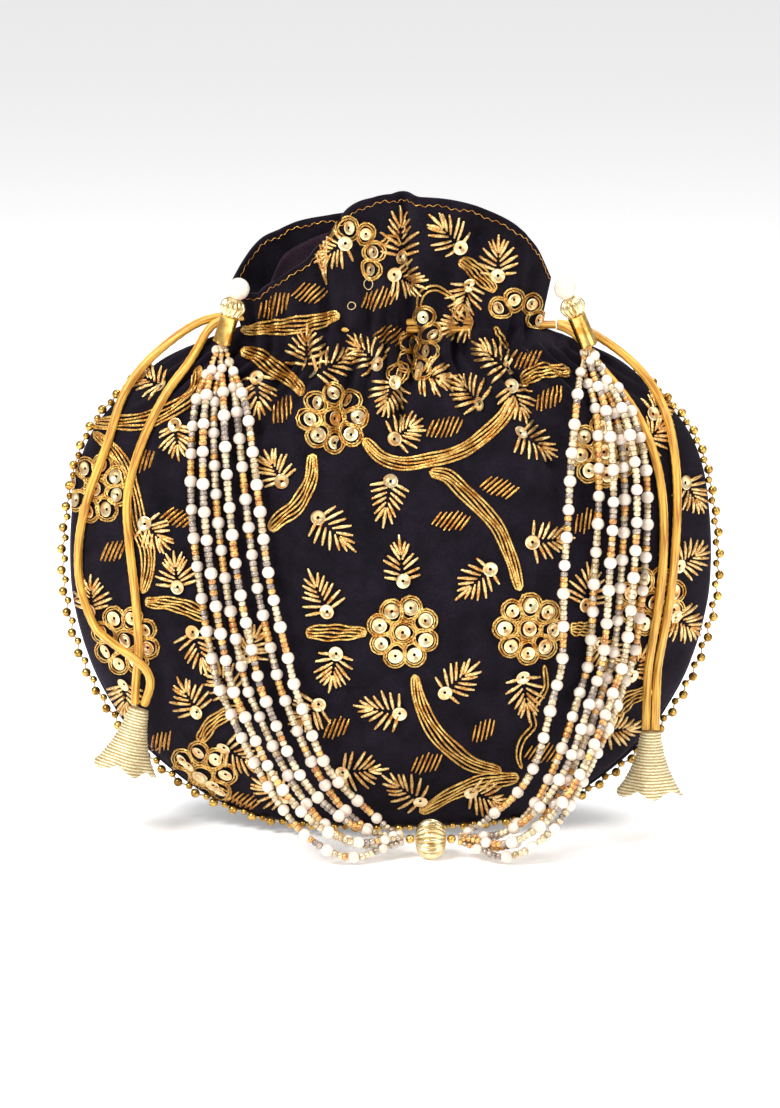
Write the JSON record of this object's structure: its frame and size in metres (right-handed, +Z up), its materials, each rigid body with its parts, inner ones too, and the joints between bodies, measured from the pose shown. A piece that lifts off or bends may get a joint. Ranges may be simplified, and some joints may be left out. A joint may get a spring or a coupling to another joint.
{
  "type": "potli bag",
  "caption": "Black velvet drawstring potli bag with gold zari and sequin embroidery, bead edging, satin drawstrings with brocade bells, and a pearl bead strand handle.",
  "frame": {"origin": "middle of the flat base, on the surface that the bag stands on", "axes": "+Z up, +Y to the back, +X to the right as seen from the front with the handle hanging in front"},
  "size_m": [0.2254, 0.1082, 0.2189],
  "materials": {
    "velvet": "black silk velvet with a slight purple cast, short dense pile",
    "lining": "dark plum satin lining, plain",
    "gold_bead": "gold-plated beads, caps and tubes, polished",
    "satin": "golden satin cord, glossy lengthwise threads",
    "brocade": "stiff pale gold ribbed brocade",
    "pearl": "imitation pearl, soft lustre",
    "glass_bead": "silver-lined champagne and amber glass seed beads with small pearls"
  },
  "bodies": {
    "bag": {"front_panel": "velvet", "back_panel": "velvet", "front_lining": "lining", "back_lining": "lining", "bead_edging": "gold_bead", "left_drawstring": "satin", "right_drawstring": "satin", "left_tail_inner": "satin", "left_tail_outer": "satin", "right_tail_inner": "satin", "right_tail_outer": "satin", "left_bell": "brocade", "right_bell": "brocade"},
    "handle": {"left_pearl": "pearl", "right_pearl": "pearl", "left_bead_cap": "gold_bead", "right_bead_cap": "gold_bead", "left_end_tube": "gold_bead", "right_end_tube": "gold_bead", "left_strand_1": "glass_bead", "left_strand_2": "glass_bead", "left_strand_3": "glass_bead", "left_strand_4": "glass_bead", "left_strand_5": "glass_bead", "left_strand_6": "glass_bead", "right_strand_1": "glass_bead", "right_strand_2": "glass_bead", "right_strand_3": "glass_bead", "right_strand_4": "glass_bead", "right_strand_5": "glass_bead", "right_strand_6": "glass_bead", "centre_bead": "gold_bead", "left_spacer_bead": "gold_bead", "right_spacer_bead": "gold_bead"}
  },
  "joints": [
    {"name": "handle_swing", "type": "hinge", "parent": "bag", "child": "handle", "pos_m": [0, -0.012, 0.186], "axis": [-1, 0, 0], "range_deg": [0, 150]}
  ]
}
